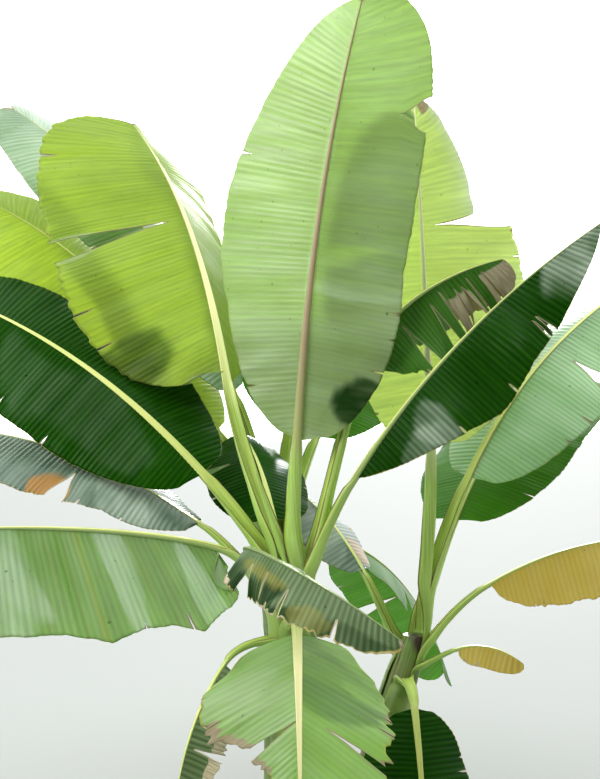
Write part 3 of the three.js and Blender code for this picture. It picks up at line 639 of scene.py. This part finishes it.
# %% [markdown]
# A blade. The side veins of a banana leaf run from the rib straight to the margin, so wind
# tears it between them, into strips that hang by themselves. The grid's rows follow the veins.
# At a tear there are two rows almost in one place, and the squares between them are deleted
# from the tear's inner end to the margin. The strip beyond a tear then turns about its own hinge.
# Cutting a finished sheet with a knife tool would leave ragged faces; here every edge stays clean.

# %% Tears and strips
ROW_STEP = .003
SLIT = .0004
PLACES = np.array([0, .03, .08, .15, .24, .34, .44, .54, .64, .73, .81, .88, .93, .97, 1])
FAN = .05
SPLITS, SPLIT_GAP, APART = 3, .002, .05


def tears_of(leaf, side, seed):
    """The leaf's own tears on one side, and a few small splits of its margin."""
    tears = on_side(leaf, "tears", side) + on_side(leaf, "strips", side)
    rng = np.random.default_rng(seed)
    for _ in range(SPLITS):
        at, depth, hang = rng.uniform(.12, .9), rng.uniform(.05, .22), rng.uniform(-9, 9)
        if all(abs(at - other[0]) > APART for other in tears):
            tears.append((at, depth, SPLIT_GAP, hang))
    return sorted(tears)


def rows_of(leaf, tears):
    """The shares of the rows, with two for each tear."""
    length = leaf["blade"][0]
    rows = np.linspace(0, 1, round(length / ROW_STEP) + 1)
    for at in sorted({tear[0] for tear in tears}):
        rows = rows[np.abs(rows - at) * length > ROW_STEP * .4]
        rows = np.append(rows, [at - SLIT / length, at + SLIT / length])
    return np.sort(rows)


# %% The surface of half a blade
VEIN_SPACING, VEIN_WOBBLE = .016, .004
MARGIN_WOBBLE, MARGIN_FAR = .012, 60
TORN_RIM, SOFT_END = .004, .02


def outline(leaf, side, share):
    """The half's width as a share of half the blade's."""
    form = {**FORM, **leaf["left_form" if side > 0 else "right_form"]}
    low = np.clip(share / form["widest"], 0, 1)
    high = np.clip((share - form["widest"]) / (1 - form["widest"]), 0, 1)
    swelling = (1 - (1 - low) ** form["base"]) ** (1 / form["base"])
    closing = (1 - high ** form["tip"]) ** (1 / form["blunt"])
    width = form["wide"] * np.where(share < form["widest"], swelling, closing)
    for at, long, more in on_side(leaf, "peaks", side):
        width = width + more * np.maximum(0, 1 - np.abs(share - at) / long)
    return width


def vein_lean(leaf, share):
    lean = mix(*leaf["lean"], share) + TIP_LEAN * share ** TIP_LEAN_POWER
    return np.radians(lean) * smooth(share / SQUARE_START)


def patches(listed, share):
    """The sum over a half of soft-edged ovals: where along and across, the half sizes, and how strong."""
    total = np.zeros((len(share), len(PLACES)))
    ragged = .35 * wander(77, share[:, None] * 14 + PLACES * 3)
    for along, across, long, wide, amount in listed:
        away = np.hypot((share[:, None] - along) / long, (PLACES - across) / wide) + ragged
        total += amount * smooth((1.2 - away) / .35)
    return total


def half_blade(leaf, side, share, tears, seed):
    """The points of one half, from rib to margin, and what MARKS names at each."""
    length, width = leaf["blade"]
    along, sideways, up = directions(*blade_angles(leaf, share))
    lift_base, lift_tip, curl = leaf["left"] if side > 0 else leaf["right"]
    wave_angle, waves, wave_start = leaf["wave"]
    ribbing, billow = leaf["relief"]
    run = share * length

    hang, hinge = np.zeros_like(share), np.ones_like(share)
    for k, (at, depth, _, angle) in enumerate(tears):
        later = tears[k + 1][1] if k + 1 < len(tears) else depth
        beyond = share > at
        hang[beyond], hinge[beyond] = angle, 1 - min(depth, later)
    full = width / 2 * outline(leaf, side, share) + LEAST_HALF
    fray = 1 - leaf["fray"] * (.5 + .5 * wander(seed + 1, run, .011)) \
        - MARGIN_WOBBLE * (.5 + .5 * wander(seed + 2, run, .09))
    half = np.maximum(LEAST_HALF, width / 2 * outline(leaf, side, share) * fray)
    lift = mix(lift_base, lift_tip, share)
    phase = waves * share + wave_start + (0 if side > 0 else OTHER_WAVE)
    ripple = wave_angle * np.sin(2 * np.pi * phase)
    lean = vein_lean(leaf, share)

    def angle_at(v):
        place = v * half / full
        loose = smooth((place - hinge) / np.maximum(.05, 1 - hinge))
        return np.radians(lift - curl * place + ripple * place + hang * loose)

    at = on_line(leaf["blade_line"], share)
    points = []
    furrow = np.sin(2 * np.pi * (run + VEIN_WOBBLE * wander(seed + 3, run, .05)) / VEIN_SPACING)
    ribs = furrow * ribbing * (.65 + .35 * wander(seed + 4, run, .04))
    for v, after in zip(PLACES, np.append(PLACES[1:], 1)):
        a = angle_at(v)
        normal = up * np.cos(a)[:, None] - sideways * (side * np.sin(a))[:, None]
        swell = billow * v ** 1.3 * (.45 * wander(seed + 5, run + .05 * v, .04)
                                     + wander(seed + 9, run - .04 * v, .13))
        for middle, wide, deep in on_side(leaf, "folds", side):
            swell = swell + deep * smooth(v / .8) * np.exp(-((share - middle) / wide) ** 2)
        raised = ribs * smooth(v / .12) + swell
        points.append(at + normal * raised[:, None])
        b, step = angle_at((v + after) / 2), (after - v) * half
        at = at + (sideways * (side * np.cos(b) * np.cos(lean) * step)[:, None]
                   + up * (np.sin(b) * np.cos(lean) * step)[:, None]
                   + along * (np.sin(lean) * step)[:, None])
    points = np.stack(points, axis=1)

    dry_edge, dry_tip = leaf["dry"]
    from_edge = (1 - PLACES) * half[:, None]
    edge = dry_edge * (.3 + .7 * np.abs(wander(seed + 6, run, .05)))[:, None]
    margin = np.minimum(from_edge / edge, MARGIN_FAR)
    dry = np.repeat(smooth((share - dry_tip) / max(.005, 1 - dry_tip))[:, None] * 1.2, len(PLACES), axis=1)
    for at, depth, gap, _ in tears:
        away = share - at
        torn = smooth((PLACES - (1 - depth)) / depth)
        shift = np.sign(away) * gap * length * np.exp(-np.abs(away) / FAN)
        points += along[:, None, :] * (shift[:, None] * torn)[..., None]
        rim = np.exp(-np.abs(away) * length / TORN_RIM)[:, None]
        dry = np.maximum(dry, rim * smooth((PLACES - (1 - depth)) / .04))
    for low, high, inner in on_side(leaf, "dead", side):
        band = smooth((share - low) / SOFT_END) * smooth((high - share) / SOFT_END)
        dry = np.maximum(dry, band[:, None] * smooth((PLACES - inner) / .15))
    # Patches of yellowing (on front_left, painted light along its folds), and patches of painted shade
    # (below 0) and of painted sheen and wax (above 0).
    yellowed_and_painted_light, tint = (patches(on_side(leaf, word, side), share) for word in ("golden", "tints"))
    return points, dry, yellowed_and_painted_light, tint, margin, np.repeat(furrow[:, None], len(PLACES), axis=1)


# %% A whole blade
THICK = .0011


def build_blade(leaf, number):
    """The blade of a leaf: a grid in the shape of its surface, torn, and given its thickness."""
    halves, torn_at = {}, {side: tears_of(leaf, side, 100 * number + side + 1) for side in (1, -1)}
    share = rows_of(leaf, torn_at[1] + torn_at[-1])
    for side in (1, -1):
        halves[side] = half_blade(leaf, side, share, torn_at[side], 1000 * number + 50 * side + 60)
    joined = [np.concatenate([left[:, :0:-1], right], axis=1) for left, right in zip(halves[1], halves[-1])]
    points, *marks = joined
    made, row, column = shaped_grid(f"blade_{leaf['name']}", points)
    lay_map(made, np.concatenate([PLACES[:0:-1], -PLACES])[column] * leaf["blade"][1] / 2,
            share[row] * leaf["blade"][0])
    for word, values in zip(MARKS, marks):
        mark(made, word, values[row, column])

    last = len(PLACES) - 1
    squares = np.empty(len(made.data.polygons) * 4, int)
    made.data.polygons.foreach_get("vertices", squares)
    low_row = row[squares.reshape(-1, 4)].min(axis=1)
    low_column = column[squares.reshape(-1, 4)].min(axis=1)
    chosen = np.zeros(len(low_row), bool)
    for side in (1, -1):
        for at, depth, _, _ in torn_at[side]:
            slit_row = np.searchsorted(share, at) - 1
            reach = int(np.argmin(np.abs(PLACES - (1 - depth))))
            beyond = low_column < last - reach if side > 0 else low_column >= last + reach
            chosen |= (low_row == slit_row) & beyond
    in_edit_mode(lambda: bpy.ops.mesh.select_mode(type="FACE"),
                 lambda: bpy.ops.mesh.select_all(action="DESELECT"))
    made.data.polygons.foreach_set("select", chosen)
    in_edit_mode(lambda: bpy.ops.mesh.delete(type="FACE"))

    for finish in LOOKS[leaf["look"]]:
        made.data.materials.append(finish)
    bpy.ops.object.modifier_add(type="SOLIDIFY")
    sheet = made.modifiers[-1]
    sheet.thickness = THICK
    sheet.offset = 0
    sheet.material_offset = 1
    bpy.ops.object.modifier_apply(modifier=sheet.name)
    bpy.ops.object.shade_smooth()
    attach(made, "root")
    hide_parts(f"blade_{leaf['name']}")
    return made


blades = [build_blade(grown, number) for number, grown in enumerate(LEAVES)]
print(len(blades), "blades,", sum(len(b.data.polygons) for b in blades) * 2, "triangles")

# %% [markdown]
# A stalk and its midrib are one piece on the real plant. Low down it is a broad sheath that
# clasps the stem; it narrows into a gutter with two thin lips, and the gutter closes into the
# rib that carries the blade. A tube through rings makes all three: each ring is the same count
# of points, and only the ring's shape changes along the way. Three separate pieces would show
# a step at each joint.

# %% The rings of a stalk
SHEATH_RINGS, STALK_RINGS, RIB_RINGS = 14, 30, 70
TOP_POINTS, BACK_POINTS = 11, 13
LIP_HEIGHT, GROOVE_DEPTH, STALK_BACK = .24, .30, .72
RIB_HALF, RIB_RISE, RIB_BACK = .42, .10, .50
SHEATH_DROP = .30
SHEATH_THICK = .009
SHEATH_WRAP = (78, 50)
LAYER = .0012
TUCK, TUCK_LENGTH = .012, .16
GUTTER_CLOSES = .88


def section(half, top_rise, back_rise, back_depth, roundness):
    """A ring in shares of the width: across its top from left to right, then back below."""
    top = np.linspace(half, -half, TOP_POINTS)
    turn = np.pi * (np.arange(BACK_POINTS) + 1) / (BACK_POINTS + 1)
    back = np.stack([-half * np.cos(turn), back_rise - back_depth * np.sin(turn) ** roundness], axis=1)
    return np.concatenate([np.stack([top, top_rise(top)], axis=1), back])


def gutter():
    return section(.5, lambda top: LIP_HEIGHT - GROOVE_DEPTH * (1 - np.abs(2 * top) ** 2.2),
                   LIP_HEIGHT, STALK_BACK, .74)


def rib():
    return section(RIB_HALF, lambda top: RIB_RISE * (.5 + .5 * (top / RIB_HALF) ** 2)
                   * (np.abs(top) < RIB_HALF * .95), 0, RIB_BACK, .8)


def stalk_width(share):
    narrow = mix(STALK_WIDTH["stem"], STALK_WIDTH["middle"], np.minimum(1, share / NARROWED))
    late = smooth((share - NARROWED) / (1 - NARROWED))
    return np.where(share < NARROWED, narrow, mix(STALK_WIDTH["middle"], STALK_WIDTH["blade"], late))


def rib_width(share):
    return mix(STALK_WIDTH["blade"], STALK_WIDTH["tip"], share ** RIB_POWER)


# %% Build the stalks
def build_stalk(leaf):
    """The sheath, stalk and midrib of one leaf, as a single closed tube."""
    stem, size = STEMS[leaf["stem"]], leaf["size"]
    stalk_share = np.linspace(0, 1, STALK_RINGS)
    rib_share = np.linspace(0, 1, RIB_RINGS + 1)[1:]
    line = np.concatenate([on_line(leaf["stalk_line"], stalk_share), on_line(leaf["blade_line"], rib_share)])
    angles = [np.concatenate(pair) for pair in zip(np.broadcast_arrays(*stalk_angles(leaf, stalk_share)),
                                                   np.broadcast_arrays(*blade_angles(leaf, rib_share)))]
    _, side, up = directions(*angles)
    width = np.concatenate([stalk_width(stalk_share), rib_width(rib_share)]) * size
    closing = smooth((stalk_share - GUTTER_CLOSES) / (1 - GUTTER_CLOSES))
    closing = np.concatenate([closing, np.ones(RIB_RINGS)])[:, None, None]
    rings = mix(gutter(), rib(), closing) * width[:, None, None]
    free = line[:, None] + side[:, None] * rings[..., :1] + up[:, None] * rings[..., 1:]

    seat = leaf["stalk_line"][0]
    drop = min(SHEATH_DROP + .01 * leaf["age"], seat[2] - .05)
    below = np.linspace(-drop, 0, SHEATH_RINGS + 1)[:-1]
    rise = np.concatenate([below, stalk_share * leaf["stalk"][0]])
    height = (seat[2] + rise) / stem["height"]
    shape = gutter()
    outward = (LIP_HEIGHT - shape[:, 1]) / STALK_BACK
    outward[:TOP_POINTS] *= .15
    fade = smooth((rise + drop) / TUCK_LENGTH)
    thick = SHEATH_THICK * size * mix(.5, 1, smooth((rise + drop) / drop))
    reach = stem_radius(stem, np.minimum(height, 1)) + LAYER * leaf["age"] * fade - TUCK * (1 - fade)
    radius = reach[:, None] + thick[:, None] * outward
    wrap = mix(SHEATH_WRAP[0], SHEATH_WRAP[1], smooth((rise + drop) / drop)) * (.5 + .5 * size)
    turn = np.radians(leaf["heading"] + 2 * shape[:, 0] * wrap[:, None])
    clasp = stem_axis(stem, height)[:, None] + radius[..., None] * ring_of(turn)
    leaves_at = smooth((rise + .05) / (.05 + .30 * leaf["stalk"][0]))[:, None, None]
    start = np.repeat(free[:1], SHEATH_RINGS, axis=0)
    near = np.concatenate([start, free[:STALK_RINGS]])
    points = np.concatenate([mix(clasp, near, leaves_at), free[STALK_RINGS:]])

    made, row, column = open_tube(f"stalk_{leaf['name']}", points)
    count = TOP_POINTS + BACK_POINTS
    ring_run = np.concatenate([rise, leaf["stalk"][0] + rib_share * leaf["blade"][0]])
    lay_map(made, (column / count) * .12, ring_run[row])
    column = column % count
    inner = np.where(np.arange(count) < TOP_POINTS, 1.0, 0.0)
    lip = np.zeros(count)
    lip[[0, TOP_POINTS - 1]] = 1
    place = np.concatenate([np.linspace(0, 1, SHEATH_RINGS, endpoint=False), 1 + stalk_share, 2 + rib_share])
    mark(made, "inner", inner[column])
    mark(made, "lip", lip[column])
    mark(made, "place", place[row] / 3)
    close_tube()
    made.data.materials.append(STALK_FINISHES[leaf["rib"]])
    bpy.ops.object.shade_smooth()
    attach(made, "root")
    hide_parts(f"stalk_{leaf['name']}")
    return made


# %% The finish of a stalk
def stalk_finish(name, rib_back, rib_top):
    """Pale waxy green with thin brown lips, which turns to the rib's own colour along the blade."""
    mat = Finish(name)
    threads = mat.grain((260, 5, 1))
    clouds = mat.grain((9, 9, 9), detail=3.0, on_map=False)
    inner, lip, place = (mat.marked(word) for word in ("inner", "lip", "place"))
    back = mat.blend(mat.ranged(threads, .3, .7), (.27, .43, .08), (.48, .64, .20))
    gutter_green = mat.blend(mat.ranged(threads, .3, .7), (.28, .42, .06), (.50, .61, .17))
    stalk = mat.blend(inner, back, gutter_green)
    ribbed = mat.blend(inner, rib_back, rib_top)
    colour = mat.blend(mat.ranged(place, .60, .74), stalk, ribbed)
    sheath = mat.blend(mat.ranged(clouds, .35, .65), (.09, .17, .03), (.25, .34, .09))
    colour = mat.blend(mat.ranged(place, .30, .42, 1, 0), colour, sheath)
    edge = mat.reckon("MULTIPLY", mat.ranged(lip, .55, .9), mat.ranged(place, .66, .72, 1, 0))
    edge = mat.reckon("MULTIPLY", edge, mat.ranged(clouds, .25, .5, .4, 1))
    colour = mat.blend(edge, colour, (.16, .085, .035))
    mat.set("Base Color", colour)
    mat.set("Roughness", .42)
    mat.bump(threads, .0008, .5)
    return mat.material


RIB_COLOURS = dict(
    green=((.42, .54, .22), (.58, .62, .2)),
    cream=((.64, .64, .36), (.74, .71, .37)),
    # The pale rib is cream made brighter as painted light, for a rib whose shaded side faces the camera.
    pale=((.92, .9, .6), (.98, .94, .6)),
    brown=((.38, .3, .18), (.55, .49, .28)),
    dull=((.16, .22, .1), (.2, .26, .1)),
)
STALK_FINISHES = {rib: stalk_finish(f"stalk_{rib}", *pair) for rib, pair in RIB_COLOURS.items()}
stalks = [build_stalk(grown) for grown in LEAVES]
print(len(stalks), "stalks,", sum(len(s.data.polygons) for s in stalks) * 2, "triangles")

# %% [markdown]
# A banana stem is no trunk, but a roll of leaf sheaths. Old sheaths end in dry brown edges that
# climb round it. A smooth cylinder would look like a pipe, so the tube's radius rises slowly
# round the stem and drops at each edge, and fine upright threads run all the way.

# %% Build the stems
STEM_AROUND, STEM_RINGS = 128, 150
SHEATH_EDGES = 4
SHEATH_STEP = .0035
EDGE_CLIMB = 1.4
INSET = .004
THREAD_DEPTH, SWELL = .0004, .002


def build_stem(name, stem, seed):
    """One false stem, from its flat cut at the ground to the fork of its leaves."""
    share = np.linspace(0, 1, STEM_RINGS) ** 1.15
    around = 2 * np.pi * np.arange(STEM_AROUND) / STEM_AROUND
    climb = (around / (2 * np.pi) * SHEATH_EDGES + EDGE_CLIMB * share[:, None]
             + .10 * wander(seed, share * 9)[:, None] + .3 * seed)
    saw = climb % 1.0
    edge = np.exp(-np.minimum(saw, 1 - saw) / .03)
    step = saw - smooth((saw - .97) / .03) * saw
    threads = wander(seed + 1, around * 30) * THREAD_DEPTH
    swell = SWELL * wander(seed + 2, share * 14)[:, None]
    radius = stem_radius(stem, share)[:, None] - INSET + SHEATH_STEP * step + threads + swell
    points = stem_axis(stem, share)[:, None] + radius[..., None] * ring_of(around)
    made, row, column = open_tube(f"stem_{name}", points)
    lay_map(made, 2 * np.pi * column / STEM_AROUND * stem["foot"], share[row] * stem["height"])
    column = column % STEM_AROUND
    mark(made, "edge", edge[row, column])
    mark(made, "height", share[row])
    close_tube()
    made.data.materials.append(STEM_FINISH)
    bpy.ops.object.shade_smooth_by_angle(angle=math.radians(50))
    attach(made, "root")
    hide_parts(f"stem_{name}")
    return made


# %% The finish of a stem
def stem_finish():
    """Yellow green with dark blotches, brown and papery at the sheaths' edges and near the ground."""
    mat = Finish("stem_sheaths")
    threads = mat.grain((190, 3, 1), detail=3.0)
    blotch = mat.grain((9, 9, 4), detail=4.0, on_map=False)
    cloud = mat.grain((3, 3, 2), on_map=False, seed=(5, 2, 1))
    edge, height = mat.marked("edge"), mat.marked("height")
    colour = mat.blend(mat.ranged(threads, .3, .7), (.07, .14, .02), (.20, .29, .07))
    dark = mat.ranged(blotch, .56, .66)
    colour = mat.blend(dark, colour, (.05, .035, .02))
    low = mat.reckon("ADD", mat.ranged(height, 0.0, .45, .55, 0), cloud)
    papery = mat.blend(mat.ranged(threads, .35, .65), (.13, .075, .035), (.42, .30, .16))
    colour = mat.blend(mat.ranged(low, .62, .78), colour, papery)
    colour = mat.blend(mat.ranged(edge, .25, .8), colour, papery)
    mat.set("Base Color", colour)
    mat.set("Roughness", .55)
    mat.bump(threads, .0015, .7)
    return mat.material


STEM_FINISH = stem_finish()
stems = [build_stem(name, stem, seed) for seed, (name, stem) in enumerate(STEMS.items())]
print(len(stems), "stems")

# %% [markdown]
# The youngest leaf stands in the heart of the main stem, still rolled up like a scroll. A spear
# could be a plain cone, but the free edge of the roll shows as a spiral seam, so its ring is a
# circle whose radius grows a little on the way round.

# %% Build the furled leaf
SPEAR = dict(length=.330, width=.020, lean=(178, 72), seat=(-.006, -.026, -.012))
SPEAR_RINGS, SPEAR_AROUND = 60, 36


def build_spear():
    foot = stem_axis(STEMS["main"], np.array(1.0)) + np.array(SPEAR["seat"])
    along, side, up = directions(*SPEAR["lean"], 0)
    share = np.linspace(0, 1, SPEAR_RINGS)
    turn = 2 * np.pi * np.arange(SPEAR_AROUND) / SPEAR_AROUND
    wide = np.interp(share, [0, .25, .7, .95, 1], [.8, 1, .8, .35, .08]) * SPEAR["width"] / 2
    seam = 1 - .14 * ((turn / (2 * np.pi) + .9 * share[:, None]) % 1.0)
    radius = wide[:, None] * seam
    points = (foot + along * (share * SPEAR["length"])[:, None])[:, None] + radius[..., None] * (
        side * np.cos(turn)[:, None] + up * np.sin(turn)[:, None])[None]
    made, row, column = open_tube("spear", points)
    lay_map(made, 2 * np.pi * column / SPEAR_AROUND * .01, share[row] * SPEAR["length"])
    for word in ("inner", "lip"):
        mark(made, word, np.zeros(len(row)))
    mark(made, "place", np.full(len(row), .55))
    close_tube()
    made.data.materials.append(STALK_FINISHES["green"])
    bpy.ops.object.shade_smooth()
    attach(made, "root")
    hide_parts("spear")
    return made


spear = build_spear()
print("spear", tuple(round(x, 3) for x in spear.dimensions))

# %% [markdown]
# Last, nothing is left selected. Leaves may stand a little proud of their plain solids.

bpy.ops.object.select_all(action="DESELECT")
